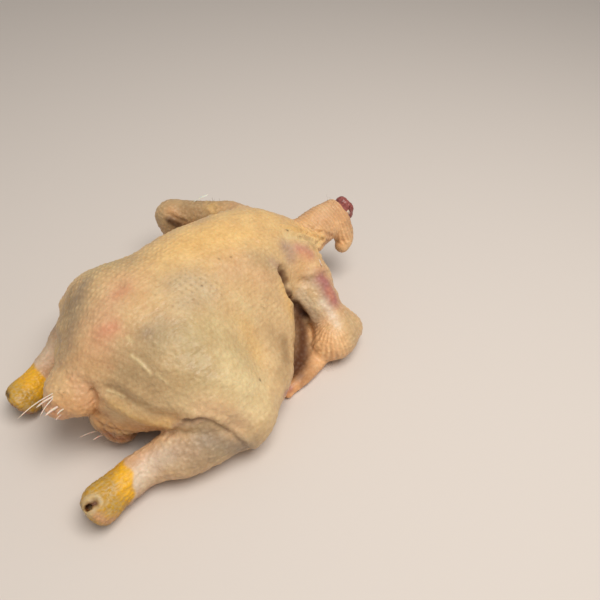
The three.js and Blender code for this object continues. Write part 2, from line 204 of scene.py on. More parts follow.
# A mesh's points as an array, with its normals, for shaping and painting
class Surface:
    def __init__(self, mesh):
        self.mesh = mesh
        self.points = np.empty(len(mesh.vertices) * 3)
        mesh.vertices.foreach_get("co", self.points)
        self.points = self.points.reshape(-1, 3)
        self.edges = np.empty(len(mesh.edges) * 2, np.int32)
        mesh.edges.foreach_get("vertices", self.edges)
        self.edges = self.edges.reshape(-1, 2)
        self.degree = np.bincount(self.edges.ravel(), minlength=len(self.points))
        self.places = self.points  # where near looks for the points, also after they are lifted
        self.update()

    def update(self):
        self.mesh.vertices.foreach_set("co", self.points.ravel())
        self.mesh.update()
        self.normals = np.empty(len(self.points) * 3)
        self.mesh.vertices.foreach_get("normal", self.normals)
        self.normals = self.normals.reshape(-1, 3)

    def averaged(self, values):
        a, b = self.edges.T
        count = len(values)
        return (np.bincount(a, values[b], count) + np.bincount(b, values[a], count)) / self.degree

    # Takes out what is small without shrinking what is large
    def soften(self, rounds, where=1.0):
        where = np.broadcast_to(where, len(self.points))[:, None]
        for _ in range(rounds):
            for share in (0.55, -0.58):
                means = np.stack([self.averaged(self.points[:, axis]) for axis in range(3)], axis=1)
                self.points += share * where * (means - self.points)
        self.update()

    def lift(self, height):
        self.points += self.normals * height[:, None]
        self.update()

    def tree(self):
        return BVHTree.FromPolygons(self.points.tolist(), [p.vertices[:] for p in self.mesh.polygons])

    # The points within reach of a line, their distance from it and which of its points is nearest
    def near(self, line, reach):
        inside = (self.places > line.min(0) - reach) & (self.places < line.max(0) + reach)
        chosen = np.flatnonzero(inside.all(axis=1))
        best = np.full(len(chosen), np.inf)
        nearest = np.zeros(len(chosen), int)
        for k, spot in enumerate(line):
            d = np.linalg.norm(self.places[chosen] - spot, axis=1)
            closer = d < best
            best[closer] = d[closer]
            nearest[closer] = k
        keep = best < reach
        return chosen[keep], best[keep], nearest[keep]


# Material nodes

def newMaterial(name):
    material = bpy.data.materials.new(name)
    material.use_nodes = True
    nodes = material.node_tree.nodes
    return material, nodes, material.node_tree.links, nodes["Principled BSDF"]


def addNode(nodes, kind, **values):
    node = nodes.new(kind)
    for key, value in values.items():
        if key in node.inputs:
            node.inputs[key].default_value = value
        else:
            setattr(node, key, value)
    return node


def noiseNode(nodes, links, place, scale, detail=3.0, roughness=0.5):
    node = addNode(nodes, "ShaderNodeTexNoise", Scale=scale, Detail=detail, Roughness=roughness)
    links.new(place.outputs["Object"], node.inputs["Vector"])
    return node


def rangeNode(nodes, links, source, low, high, toLow, toHigh):
    node = addNode(nodes, "ShaderNodeMapRange")
    limits = {"From Min": low, "From Max": high, "To Min": toLow, "To Max": toHigh}
    for name, value in limits.items():
        node.inputs[name].default_value = value
    links.new(source, node.inputs["Value"])
    return node


# Darkens a colour where the source is low: by all of dark below low, and not at all above high
def mottled(nodes, links, colour, source, low, high, dark, factor):
    shade = addNode(nodes, "ShaderNodeValToRGB")
    first, last = shade.color_ramp.elements
    first.position, last.position = low, high
    first.color, last.color = (*dark, 1), (1, 1, 1, 1)
    links.new(source, shade.inputs["Fac"])
    mixed = addNode(nodes, "ShaderNodeMix", data_type="RGBA", blend_type="MULTIPLY")
    mixed.inputs["Factor"].default_value = factor
    links.new(colour, mixed.inputs["A"])
    links.new(shade.outputs["Color"], mixed.inputs["B"])
    return mixed.outputs["Result"]


def bumped(nodes, links, source, strength, distance, under=None):
    bump = addNode(nodes, "ShaderNodeBump", Strength=strength, Distance=distance)
    links.new(source, bump.inputs["Height"])
    if under is not None:
        links.new(under, bump.inputs["Normal"])
    return bump.outputs["Normal"]


# Skin

skinLook = {
    "broadScale": 70,
    "broadDark": (0.9, 0.84, 0.8),
    "broadShare": 0.7,
    "fineScale": 420,
    "fleckDark": (0.8, 0.7, 0.62),
    "fleckShare": 0.34,
    "roughFrom": 0.31,
    "roughTo": 0.54,
    "specular": 0.38,
    "subsurface": 0.1,
    "subsurfaceTones": (1.0, 0.42, 0.2),
    "subsurfaceReach": 1.6 * mm,
    "grainHeight": 0.22 * mm,
    "poreScale": 620.0,
    "poreHeight": 0.3 * mm,
    "strokeScales": (400.0, 110.0, 300.0),  # across, along and over the body
    "strokeHeight": 0.85 * mm,
}


def makeSkinMaterial():
    look = skinLook
    material, nodes, links, shader = newMaterial("raw skin")
    place = addNode(nodes, "ShaderNodeTexCoord")
    brushed = addNode(nodes, "ShaderNodeAttribute", attribute_name="skinColour")
    broad = noiseNode(nodes, links, place, look["broadScale"], 4).outputs["Fac"]
    fine = noiseNode(nodes, links, place, look["fineScale"], 3, 0.6).outputs["Fac"]

    colour = brushed.outputs["Color"]
    colour = mottled(nodes, links, colour, broad, 0.35, 0.62, look["broadDark"], look["broadShare"])
    colour = mottled(nodes, links, colour, fine, 0.38, 0.6, look["fleckDark"], look["fleckShare"])
    links.new(colour, shader.inputs["Base Color"])

    rough = rangeNode(nodes, links, broad, 0.35, 0.65, look["roughFrom"], look["roughTo"])
    dull = addNode(nodes, "ShaderNodeAttribute", attribute_name="dullness")
    total = addNode(nodes, "ShaderNodeMath", operation="ADD")
    links.new(rough.outputs["Result"], total.inputs[0])
    links.new(dull.outputs["Fac"], total.inputs[1])
    links.new(total.outputs["Value"], shader.inputs["Roughness"])
    shader.inputs["Subsurface Weight"].default_value = look["subsurface"]
    shader.inputs["Subsurface Radius"].default_value = look["subsurfaceTones"]
    shader.inputs["Subsurface Scale"].default_value = look["subsurfaceReach"]
    shader.inputs["Specular IOR Level"].default_value = look["specular"]

    # Grain, pores, and fine creases that run along the body
    pores = addNode(nodes, "ShaderNodeTexVoronoi", Scale=look["poreScale"], feature="SMOOTH_F1")
    links.new(place.outputs["Object"], pores.inputs["Vector"])
    drawn = addNode(nodes, "ShaderNodeMapping", Scale=look["strokeScales"])
    links.new(place.outputs["Object"], drawn.inputs["Vector"])
    strokes = addNode(nodes, "ShaderNodeTexNoise", Scale=1.0, Detail=3.0, Distortion=0.6)
    links.new(drawn.outputs["Vector"], strokes.inputs["Vector"])
    normal = bumped(nodes, links, fine, 0.7, look["grainHeight"])
    normal = bumped(nodes, links, pores.outputs["Distance"], 0.6, look["poreHeight"], normal)
    normal = bumped(nodes, links, strokes.outputs["Fac"], 0.6, look["strokeHeight"], normal)
    links.new(normal, shader.inputs["Normal"])
    return material


# Roots and tips of the feather stubs, and their radius at the root, where the CAD has them
stubs = {
    "tailLong": ((0.6, -118.8, 62.3), (0.1, -143.2, 59.8), 0.55),
    "tailBlade": ((2.1, -119.6, 61.4), (1.3, -131.4, 60.4), 0.95),
    "tailThin": ((2.8, -119.8, 61.1), (6.2, -132.4, 57.7), 0.55),
    "tailThick": ((7.2, -121.2, 56.8), (7.7, -130.2, 56.8), 1.1),
    "tailShort": ((10.9, -119.5, 56.5), (12.7, -124.8, 57.6), 0.7),
    "tailLow": ((9.8, -121.4, 51.6), (11.8, -126.3, 52.7), 0.7),
    "ventLong": ((14.8, -101.4, 19.1), (9.9, -116.1, 21.3), 0.55),
    "ventShort": ((17, -101.8, 17), (15.9, -110.3, 18), 0.8),
    "shoulder": ((38.8, 95.6, 64.8), (43.4, 93, 64.6), 0.7),
    "wingPlume": ((-93.8, 81.5, 67.1), (-87.1, 91.2, 72.2), 1.2),
}

skinMesh = {
    "cell": 0.9 * mm,
    "softenRounds": 48,
    "firmNear": 11,  # the neck's rim is softened less within these millimetres
    "holeFirmNear": 6,  # and the tendon hole within these
}

# Ends of the legs: the middle of the cut, the way it faces, how far the yellow skin and its pale end
# reach back, and how much further they do so on top of the leg, for each millimetre of height
hocks = [
    {"end": (55, -140.5, 12), "way": (-0.2, -0.85, -0.4), "yellow": 22, "pale": 14, "tilt": 0.85},
    {"end": (-55, -129, 12), "way": (-0.05, -0.85, -0.42), "yellow": 27, "pale": 15, "tilt": 0.15},
]
tendonHole = (58.5, -141, 22.5)
neckRim = [(7, 163, 78), (22, 158, 60), (17, 160, 40), (4, 162, 42), (-8, 164, 60)]


def unit(way):
    way = np.array(way, float)
    return way / np.linalg.norm(way)


# The CAD solid without its feather stubs, whose ends are drawn back to their roots
def bareSkin():
    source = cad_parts["chicken"].data.copy()
    shape = bmesh.new()
    shape.from_mesh(source)
    bmesh.ops.remove_doubles(shape, verts=shape.verts, dist=0.001 * mm)
    for root, tip, radius in stubs.values():
        root = Vector(placed(root))
        way = Vector(placed(tip)) - root
        length = way.length
        way.normalize()
        for vert in shape.verts:
            off = vert.co - root
            along = off.dot(way)
            inStub = (off - way * along).length < (radius + 0.6) * mm
            if inStub and 0.3 * mm < along < length + mm:
                vert.co = root
    shape.to_mesh(source)
    shape.free()
    return remeshed(source, skinMesh["cell"])


def nearness(points, spots, reach):
    d = np.min([np.linalg.norm(points - placed(spot), axis=1) for spot in spots], axis=0)
    return 1 - ramp(0.5 * reach * mm, reach * mm, d)


skin = Surface(bareSkin())
firm = np.maximum(
    0.8 * nearness(skin.points, [tendonHole], skinMesh["holeFirmNear"]),
    0.5 * nearness(skin.points, lineThrough(neckRim, 4), skinMesh["firmNear"]),
)
skin.soften(skinMesh["softenRounds"], 1 - firm)
skinTree = skin.tree()
skin.places = skin.points.copy()
print(f"skin remeshed: {len(skin.points)} points")


# Where a point of the photograph lies on a surface, or its nearest point if it lies just outside
def seen(x, y, tree=skinTree):
    way = sightLine(x, y)
    place = tree.ray_cast(cameraPlace, way)[0]
    if place is None:
        beside = [tree.find_nearest(cameraPlace + way * far * mm) for far in range(380, 760, 4)]
        place = min(beside, key=lambda found: found[3])[0]
    return place


def seenLine(path):
    return lineThrough([seen(x, y) for x, y in path])


def placedLine(path):
    return lineThrough([placed(p) for p in path])


# The same line on the bird's other side
def mirroredLine(line):
    across = line.copy()
    across[:, 0] = 2 * toOrigin[0] * mm - across[:, 0]
    return np.array([skinTree.find_nearest(Vector(p))[0] for p in across])


# Where points lie in the photograph
def pictured(points):
    way = (points - np.array(cameraPlace)) @ np.array(cameraTurn)
    half = view["pictureSide"] / 2
    return half - 2 * half * way[:, 0] / way[:, 2], half + 2 * half * way[:, 1] / way[:, 2]


# Folds: a groove along a line of the photograph's points, with a lip beside it. Each has its depth,
# width and lip, how far it raises the skin on the line's left, all in millimetres, and whether the
# bird's other side has it too.
folds = [
    (1.6, 1.6, 0.5, 0, False, [(93, 391), (95, 400), (97, 412)]),
    (0.5, 2.5, 0.2, 0, False, [(80, 380), (88, 386), (93, 391)]),
    (1.1, 3.5, 0.8, 0, True, [(108, 390), (122, 397), (140, 408), (160, 416), (183, 418)]),
    (-0.9, 4, -0.2, 0, True, [(112, 404), (130, 416), (150, 424), (168, 424)]),
    (1.6, 2.0, 0.7, 0, False, [(89, 507), (92, 505), (95, 503)]),
    (0.8, 1.6, 0.4, 0, False, [(199, 417), (192, 420), (184, 423), (174, 430), (165, 438)]),
    (0.9, 1.8, 0.3, 1.6, True,
     [(186, 419), (200, 417), (212, 420), (227, 430), (241, 441), (252, 450)]),
    (-0.4, 1.0, -0.15, 0, False, [(131, 356), (141, 364), (150, 373)]),
    (-0.25, 1.0, -0.1, 0, False, [(156, 374), (162, 379), (168, 384)]),
    (-0.35, 1.0, -0.12, 0, False, [(107, 391), (115, 394), (123, 398)]),
    (0.6, 2.2, 0.35, 0, False, [(303, 282), (311, 281), (321, 277), (330, 274)]),
    (4.2, 2.6, 0.6, 0, False,
     [(281, 269), (284, 276), (287, 284), (291, 296), (297, 307), (305, 317)]),
    (0.9, 1.3, 0.6, 0, False, [(100, 424), (106, 431), (113, 437), (124, 440)]),
    (0.7, 1.2, 0.5, 0, False, [(112, 424), (119, 430), (128, 434)]),
    (0.9, 1.4, 0.4, 0, False, [(97, 421), (110, 428), (125, 431), (142, 433)]),
    (0.5, 5, 0.2, 0, True, [(240, 345), (252, 352), (262, 366), (268, 384)]),
    (0.45, 4, 0.3, 0, True, [(205, 392), (222, 392), (240, 398), (256, 410)]),
    (0.7, 5, 0.2, 0, True, [(172, 356), (185, 353), (198, 356)]),
    (0.35, 2.5, 0.3, 0, True, [(228, 296), (240, 310), (249, 326)]),
    (0.5, 3, 0.3, 0, True, [(268, 300), (274, 320), (277, 345)]),
    (0.6, 2.5, 0.4, 0, False, [(258, 266), (268, 268), (278, 272)]),
    (0.7, 2, 0.5, 0, False, [(262, 238), (275, 236), (290, 236), (303, 240)]),
    (0.8, 1.6, 0.6, 0, False, [(283, 227), (296, 230), (310, 236), (322, 240)]),
    (0.7, 1.4, 0.5, 0, False, [(292, 222), (304, 226), (318, 232), (331, 236)]),
    (0.8, 1.5, 0.5, 0, False, [(300, 238), (312, 241), (322, 245)]),
    (0.6, 1.6, 0.3, 0, False, [(168, 214), (176, 218), (186, 222)]),
    (0.7, 1.8, 0.4, 0, False, [(207, 203), (212, 208), (216, 214)]),
]


def foldSkin():
    height = np.zeros(len(skin.points))
    for depth, width, lip, overlap, both, points in folds:
        line = seenLine(points)
        width *= mm
        for side, path in enumerate([line, mirroredLine(line)] if both else [line]):
            chosen, d, nearest = skin.near(path, width * 5)
            height[chosen] -= depth * mm * bell(d, width)
            height[chosen] += lip * mm * bell(d - 2.2 * width, width)
            if overlap:
                tangent = np.gradient(path, axis=0)[nearest] * (1 - 2 * side)
                left = np.cross(skin.normals[chosen], tangent)
                left /= np.linalg.norm(left, axis=1)[:, None] + 1e-12
                along = np.einsum("ij,ij->i", skin.points[chosen] - path[nearest], left)
                rise = ramp(-0.6 * mm, 1.2 * mm, along) * (1 - ramp(0, 5 * width, d))
                height[chosen] += overlap * mm * rise
    skin.lift(height)


foldSkin()
print("folds raised")


# Small relief: spacing and height in millimetres, and the width of a bump or line as a share of its
# spacing

relief = {
    "uneven": {"sizes": (22, 9, 5), "heights": (0.5, 0.34, 0.22)},
    "follicles": {"spacing": 4.3, "height": 0.3, "leftHeight": 0.6, "width": 0.3},
    "goose": {"spacing": 3.3, "height": 0.6, "width": 0.36},
    "pebbles": {"spacing": 3.0, "height": 0.55, "width": 0.4},
    "scales": {"spacing": 3.1, "depth": 0.55, "width": 0.16},
    "ribs": {"spacing": 3.1, "height": 0.8, "beadSpacing": 2.3, "width": 0.5, "from": 104},
    "neckFolds": {"spacing": 6.5, "height": 1.9, "width": 0.45},
    "fan": {  # its centre and reach on the photograph, its turns in degrees, and the wing's knob
        "centre": (332, 317),
        "from": 9,
        "to": 46,
        "count": 40,
        "height": 0.36,
        "turnFrom": 62,
        "turnTo": 172,
        "at": (326, 340),
        "reach": 23,
    },
    "grain": {"spacing": 2.1, "height": 0.17},
    "creases": {"spacing": 4.4, "depth": 0.16, "width": 0.2},
}

limbLines = {
    "legs": [
        [(74, -50, 22), (66, -80, 19), (57, -97, 15), (55, -118, 13), (56, -140, 12)],
        [(-74, -45, 22), (-68, -76, 18), (-66, -88, 15), (-58.5, -108, 12.5), (-53, -130, 12)],
    ],
    "wings": [
        [(10, 83, 55), (29, 88, 48), (44, 84, 38), (60, 84, 26)]
        + [(74, 82, 17), (78, 44, 7), (77, 17, 4)],
        [(-34, 85, 60), (-58, 92, 60), (-84, 82, 57), (-107, 70, 51), (-107, 69, 38), (-70, 61, 41)],
    ],
    "neck": [[(1, 108, 57), (3, 124, 60), (6, 145, 62), (8, 165, 60)]],
    "neckBase": [[(6, 88, 62), (14, 98, 60), (12, 112, 56)]],
    "tail": [[(0, -92, 56), (0, -104, 52), (-1, -114, 48)]],
    "vent": [[(6, -92, 22), (15, -96, 17), (25, -92, 16)]],
    "armpits": [
        [(50, 62, 40), (58, 54, 26), (66, 42, 12)],
        [(-50, 62, 40), (-58, 54, 26), (-66, 42, 12)],
    ],
}


# How much a point belongs to a limb: 1 near its line, 0 beyond reach millimetres from it
def limbShare(name, reach):
    share = np.zeros(len(skin.points))
    for path in limbLines[name]:
        chosen, d, nearest = skin.near(placedLine(path), reach * mm)
        share[chosen] = np.maximum(share[chosen], 1 - ramp(0.75 * reach * mm, reach * mm, d))
    return share


# Distance behind each hock's cut, for the points of that leg's end; far away elsewhere.
# The tilt lets the yellow skin reach further on top of the leg than under it.
def hockDistance():
    behind = np.full(len(skin.points), 99.0)
    side = np.zeros(len(skin.points), int)
    for k, hock in enumerate(hocks):
        off = skin.points - placed(hock["end"])
        along = -(off @ unit(hock["way"])) / mm
        across = np.linalg.norm(off + along[:, None] * mm * unit(hock["way"]), axis=1) / mm
        here = (across < 24) & (along < 45)
        behind[here] = (along - hock["tilt"] * off[:, 2] / mm)[here]
        side[here] = k
    return behind, side


# Distance to the nearest feather follicle of the trunk's even rows, over their spacing
def follicleDistance(p):
    spacing = relief["follicles"]["spacing"]
    row = np.sqrt(3) / 2
    q = p / mm - toOrigin
    angle = np.arctan2(q[:, 0] + 2, q[:, 2] - 40)
    along = (q[:, 1] + 0.35 * q[:, 0] + 1.6 * softNoise(p, 13 * mm, 3)) / spacing
    across = (angle * 54 + 1.6 * softNoise(p, 13 * mm, 5)) / (spacing * row)
    nearestRow = np.round(across)
    along = along - 0.5 * (nearestRow % 2)
    return np.hypot(along - np.round(along), (across - nearestRow) * row)


def reliefSkin():
    p = skin.points.copy()
    q = p / mm - toOrigin
    share = {
        "legs": limbShare("legs", 27),
        "wings": limbShare("wings", 25),
        "neck": limbShare("neck", 27),
        "neckBase": limbShare("neckBase", 22),
        "tail": limbShare("tail", 24),
        "vent": limbShare("vent", 18),
        "armpits": limbShare("armpits", 15),
    }
    share["wings"] = share["wings"] * (1 - share["armpits"])
    trunk = 1 - np.max([share[k] for k in ("legs", "wings", "neck", "tail", "vent")], axis=0)
    behind, side = hockDistance()
    yellowFrom = np.array([hock["yellow"] for hock in hocks])[side]
    hockness = 1 - ramp(yellowFrom - 1.5, yellowFrom + 1, behind + 2.4 * softNoise(p, 7 * mm, 6))

    uneven = relief["uneven"]
    broad = np.zeros(len(p))
    for k, (size, high) in enumerate(zip(uneven["sizes"], uneven["heights"])):
        broad += high * softNoise(p, size * mm, k)

    creases = relief["creases"]
    drawn = p * np.array((1, 0.75, 1)) + 0.9 * mm * softNoise(p, 3 * mm, 11)[:, None]
    first, second = strewn(drawn, creases["spacing"] * mm, 7)
    height = -creases["depth"] * bell(second - first, creases["width"]) * (1 - hockness)

    dot = follicleDistance(p)
    leftSide = ramp(0, 45, -q[:, 0])
    patchy = 0.55 + 0.45 * softNoise(p, 30 * mm, 7)
    rows = relief["follicles"]
    rowHeight = rows["height"] + rows["leftHeight"] * leftSide
    height += trunk * patchy * rowHeight * bell(dot, rows["width"])

    goose = relief["goose"]
    first, second = strewn(p, goose["spacing"] * mm, 1)
    bumps = bell(first, goose["width"])
    bumpy = (1 - hockness) * np.maximum(share["wings"], share["legs"]) * (0.7 + 0.3 * patchy)
    height += goose["height"] * bumps * bumpy

    pebbles = relief["pebbles"]
    first, second = strewn(p, pebbles["spacing"] * mm, 2)
    pebbled = np.maximum(share["tail"], share["vent"])
    height += pebbles["height"] * bell(first, pebbles["width"]) * pebbled

    scales = relief["scales"]
    first, second = strewn(p, scales["spacing"] * mm, 3)
    net = bell(second - first, scales["width"])
    height -= scales["depth"] * net * hockness

    ribs = relief["ribs"]
    axis = unit((0.06, 1, 0.03))
    turns = (q @ axis + 0.25 * q[:, 2] + 1.0 * softNoise(p, 9 * mm, 8)) / ribs["spacing"]
    first, second = strewn(p, ribs["beadSpacing"] * mm, 4)
    beaded = 0.55 + 0.45 * bell(first, ribs["width"])
    ribbed = share["neck"] * (q[:, 1] > ribs["from"])
    height += ribs["height"] * ribbed * (0.5 + 0.5 * np.cos(2 * np.pi * turns)) * beaded

    lumps = relief["neckFolds"]
    long = p * np.array((0.9, 0.55, 1.0))
    first, second = strewn(long, lumps["spacing"] * mm, 5)
    height += lumps["height"] * share["neckBase"] * (bell(first, lumps["width"]) - 0.3)

    fan = relief["fan"]
    x, y = pictured(p)
    dx, dy = x - fan["centre"][0], y - fan["centre"][1]
    out = np.hypot(dx, dy)
    away = np.linalg.norm(p - np.array(seen(*fan["at"])), axis=1) / mm
    knob = 1 - ramp(0.7 * fan["reach"], fan["reach"], away)
    knob *= ramp(fan["from"] - 4, fan["from"] + 3, out) * (1 - ramp(fan["to"] - 8, fan["to"], out))
    turned = np.degrees(np.arctan2(dy, dx))
    knob *= ramp(fan["turnFrom"] - 15, fan["turnFrom"] + 8, turned)
    knob *= 1 - ramp(fan["turnTo"] - 8, fan["turnTo"] + 8, turned)
    wrinkle = knob * np.cos(np.radians(turned) * fan["count"] + 2.6 * softNoise(p, 8 * mm, 9))
    height += fan["height"] * wrinkle * (0.7 + 0.6 * softNoise(p, 5 * mm, 10))

    grain = relief["grain"]
    height += grain["height"] * softNoise(p, grain["spacing"] * mm, 4)
    skin.lift((broad + height) * mm)
    return {
        "height": height,
        "share": share,
        "leftSide": leftSide,
        "dot": dot,
        "bumps": bumps,
        "net": net,
        "hockness": hockness,
        "behind": behind,
        "side": side,
        "wrinkle": wrinkle,
    }


# Colours of the skin

tones = {
    "cream": "#dbbb8c",
    "pale": "#e5cf9f",
    "yellow": "#eac07a",
    "grey": "#b59d77",
    "greyTan": "#bb9c73",
    "blueGrey": "#988571",
    "greenGrey": "#c3af80",
    "rosy": "#d8906f",
    "pink": "#dba683",
    "orange": "#dba167",
    "peach": "#e4b483",
    "purple": "#a8676a",
    "hockYellow": "#f6ba12",
    "hockPale": "#bf9535",
    "mauve": "#b59884",
    "mauvePink": "#c88f7f",
    "shank": "#cfa988",
    "white": "#eaddcb",
    "salmon": "#f5b67c",
    "paintedLightPeach": "#fccb94",
    # A brown that serves mostly as painted shade
    "brownAndShade": "#5c3316",
    "dark": "#43200f",
    "web": "#e0cda2",
    "neck": "#cb936b",
    "dusky": "#957653",
    "paleGrey": "#c6b08d",
    "hole": "#5e2008",
}

# Broad areas: tone, points in the part's millimetres, reach and strength
areas = [
    ("yellow", [(-6, 70, 92), (-8, 30, 100), (-4, -10, 100)], 34, 0.55),
    ("orange", [(-48, -50, 62), (-58, -10, 58), (-56, 30, 60)], 26, 0.55),
    ("orange", [(-60, -40, 30), (-72, 0, 25)], 24, 0.4),
    ("pale", [(70, -30, 48), (60, -50, 56)], 26, 0.5),
    ("pale", [(-70, -30, 48), (-60, -50, 56)], 20, 0.3),
    ("neck", [(2, 116, 57), (4, 136, 60), (7, 165, 60)], 26, 0.85),
    ("yellow", [(8, 88, 66), (14, 100, 62)], 20, 0.6),
    ("shank", [(68, -70, 21), (57, -97, 15), (55, -120, 13)], 20, 0.6),
    ("shank", [(-70, -64, 21), (-66, -88, 15), (-58, -110, 12.5)], 20, 0.6),
    ("orange", [(0, -98, 52), (-1, -114, 48)], 20, 0.3),
    ("orange", [(10, -90, 18), (20, -94, 16)], 18, 0.6),
    ("dusky", [(-66, 90, 62), (-84, 82, 58), (-104, 70, 52)], 19, 0.85),
    ("peach", [(-36, 84, 66), (-50, 90, 66)], 18, 0.5),
    ("peach", [(60, 84, 34), (72, 84, 26)], 20, 0.5),
    ("salmon", [(74, 58, 9), (77, 48, 8), (78, 36, 6.5), (77, 17, 4)], 11, 0.95),
    ("salmon", [(-94, 70, 36), (-72, 62, 41)], 13, 0.6),
    # Painted shade: brown in the recesses between the wings and the chest, which the wings shade
    ("brownAndShade", [(52, 60, 36), (60, 52, 24), (68, 38, 12)], 13, 0.9),
    ("brownAndShade", [(-52, 60, 36), (-60, 52, 24), (-68, 38, 12)], 13, 0.7),
    ("pink", [(0, -20, 0), (0, 40, 0)], 50, 0.3),
]

# Patches: tone, the photograph's points, reach and strength; a last True puts it on the other side too
patches = [
    ("yellow", [(186, 244), (215, 236), (248, 242)], 14, 0.6),
    ("pink", [(232, 268), (250, 262), (262, 272)], 12, 0.35),
    ("grey", [(95, 268), (112, 262), (130, 262)], 11, 0.5),
    ("paleGrey", [(176, 284), (190, 280), (204, 292), (186, 302)], 13, 0.8),
    ("mauve", [(165, 327), (176, 333)], 9, 0.55),
    ("blueGrey", [(147, 334), (155, 337)], 7, 0.85),
    ("grey", [(160, 338), (180, 331)], 9, 0.65),
    ("greyTan", [(120, 378), (132, 362), (150, 382)], 18, 0.9, True),
    ("grey", [(128, 372), (140, 366)], 13, 0.5, True),
    ("greenGrey", [(195, 340), (215, 338), (236, 356)], 18, 0.75, True),
    ("grey", [(196, 352), (216, 356)], 12, 0.4),
    ("greenGrey", [(200, 372), (225, 374)], 13, 0.45),
    ("pale", [(232, 386), (252, 392), (244, 408)], 16, 0.75, True),
    ("pale", [(224, 352), (234, 366)], 11, 0.6),
    ("yellow", [(246, 330), (256, 350)], 10, 0.45),
    ("rosy", [(103, 331), (112, 327)], 6.5, 0.85),
    ("rosy", [(116, 294), (124, 290)], 5, 0.6),
    ("pink", [(95, 345), (104, 315), (122, 285)], 15, 0.5),
    ("orange", [(82, 352), (96, 372)], 14, 0.2),
    # Painted highlights: pale along three small raised ridges of skin, and a glint beside them
    ("pale", [(131, 356), (141, 364), (150, 373)], 1.3, 0.8),
    ("pale", [(156, 374), (162, 379), (168, 384)], 1.1, 0.7),
    ("pale", [(107, 391), (115, 394), (123, 398)], 1.1, 0.7),
    ("pale", [(128, 337), (131, 341)], 1.5, 0.6),
    # Painted highlight on small wet wrinkles of the back
    ("pale", [(236, 296), (246, 306), (254, 320)], 5, 0.4),
    ("blueGrey", [(84, 283), (78, 298)], 9, 0.65),
    ("blueGrey", [(72, 320), (66, 350)], 9, 0.4),
    ("orange", [(60, 405), (80, 408), (92, 409)], 9, 0.6),
    ("pink", [(46, 404), (52, 412), (60, 415)], 7, 0.8),
    ("pink", [(84, 390), (90, 400)], 9, 0.4),
    ("orange", [(100, 418), (120, 426), (150, 428), (175, 421)], 8, 0.4, True),
    ("brownAndShade", [(104, 432), (116, 438), (128, 438)], 6, 0.45),
    ("rosy", [(106, 433), (114, 437), (122, 438)], 4, 0.45),
    ("yellow", [(112, 404), (132, 416), (150, 423), (168, 423)], 4.5, 0.55, True),
    ("mauve", [(176, 425), (190, 421), (204, 419)], 3, 0.5, True),
    # Painted shade along the groove of the thigh's edge fold, on both sides
    ("brownAndShade", [(184, 421), (200, 417), (214, 421), (228, 431)], 1.3, 0.5, True),
    ("pink", [(136, 459), (150, 455)], 8, 0.5, True),
    ("white", [(166, 456), (152, 464), (136, 484)], 8, 0.55, True),
    ("mauve", [(182, 448), (196, 456)], 9, 0.55, True),
    ("purple", [(134, 502), (152, 492)], 5, 0.35, True),
    ("blueGrey", [(206, 440), (226, 446), (244, 448)], 11, 0.85, True),
    ("grey", [(196, 464), (216, 458)], 7, 0.4, True),
    ("pink", [(205, 408), (225, 414), (240, 424)], 9, 0.35, True),
    ("mauve", [(285, 247), (291, 250), (290, 256)], 7, 0.9),
    ("mauvePink", [(298, 248), (306, 250), (311, 254)], 5.5, 0.9),
    ("rosy", [(301, 252), (309, 256)], 3.5, 0.5),
    ("peach", [(300, 268), (315, 266)], 12, 0.4),
    ("blueGrey", [(312, 281), (320, 287), (324, 296)], 6, 0.55),
    ("purple", [(323, 279), (328, 288), (334, 300)], 8, 0.9),
    ("rosy", [(329, 290), (332, 297)], 3, 0.5),
    ("pale", [(305, 296), (315, 308)], 7, 0.5),
    ("white", [(303, 294), (312, 308), (318, 322)], 6, 0.3),
    # Painted highlight on the near wing, beside its knob
    ("white", [(322, 302), (330, 312), (337, 325)], 3.8, 0.6),
    ("peach", [(322, 338), (328, 350), (336, 352)], 12, 0.9),
    # Painted light: a light peach on the shaded lower side of the near wing's knob
    ("paintedLightPeach", [(324, 344), (338, 346)], 11, 0.5),
    ("paintedLightPeach", [(313, 336), (316, 346), (322, 355)], 7, 0.9),
    ("grey", [(350, 318), (354, 335)], 8, 0.5),
    # Painted light on the neck's hood
    ("paintedLightPeach", [(339, 226), (341, 236), (344, 244)], 8, 0.85),
    ("pale", [(288, 236), (302, 239), (317, 243)], 5, 0.65),
    ("yellow", [(292, 229), (306, 233), (320, 237)], 6, 0.5),
    ("yellow", [(283, 286), (288, 300), (292, 316)], 4.5, 0.6),
    ("greyTan", [(281, 338), (284, 352), (284, 372)], 8, 0.8),
    ("dusky", [(284, 340), (286, 360)], 4, 0.5),
    ("greyTan", [(270, 332), (272, 348)], 7, 0.5),
    ("grey", [(254, 256), (268, 262)], 10, 0.6),
    ("grey", [(194, 370), (206, 374)], 9, 0.4),
    ("greyTan", [(226, 268), (236, 274)], 9, 0.3),
    ("brownAndShade", [(72, 288), (68, 308)], 7, 0.22),
    ("mauve", [(272, 262), (278, 267)], 4, 0.6),
    # Painted shade on the chest's side in the near wing's shadow
    ("dark", [(301, 336), (303, 350), (298, 366)], 4, 0.55),
    ("purple", [(286, 393), (290, 389)], 3, 0.7),
    # Painted shade: brown down the chest's side under the near wing
    ("brownAndShade", [(298, 318), (302, 330), (303, 345), (300, 360), (294, 374)], 6, 0.9),
    # Painted shade along the deep crease between the near wing and the back
    ("dark", [(283, 272), (286, 281), (289, 291), (297, 307), (304, 317)], 2.2, 0.9),
    ("brownAndShade", [(282, 269), (286, 281), (289, 291), (297, 307)], 4, 0.5),
    ("peach", [(170, 211), (174, 215)], 5, 0.7),
    ("yellow", [(211, 206), (214, 212)], 6, 0.5),
    # Painted shadow under the raised far wing
    ("dark", [(170, 221), (177, 225)], 5, 0.85),
    ("dark", [(286, 230), (287, 231)], 0.9, 0.95),
    ("dark", [(231, 257)], 0.8, 0.7),
    ("dark", [(219, 259)], 0.8, 0.6),
    ("dark", [(202, 286)], 0.8, 0.6),
    ("dark", [(260, 380)], 0.9, 0.8),
]

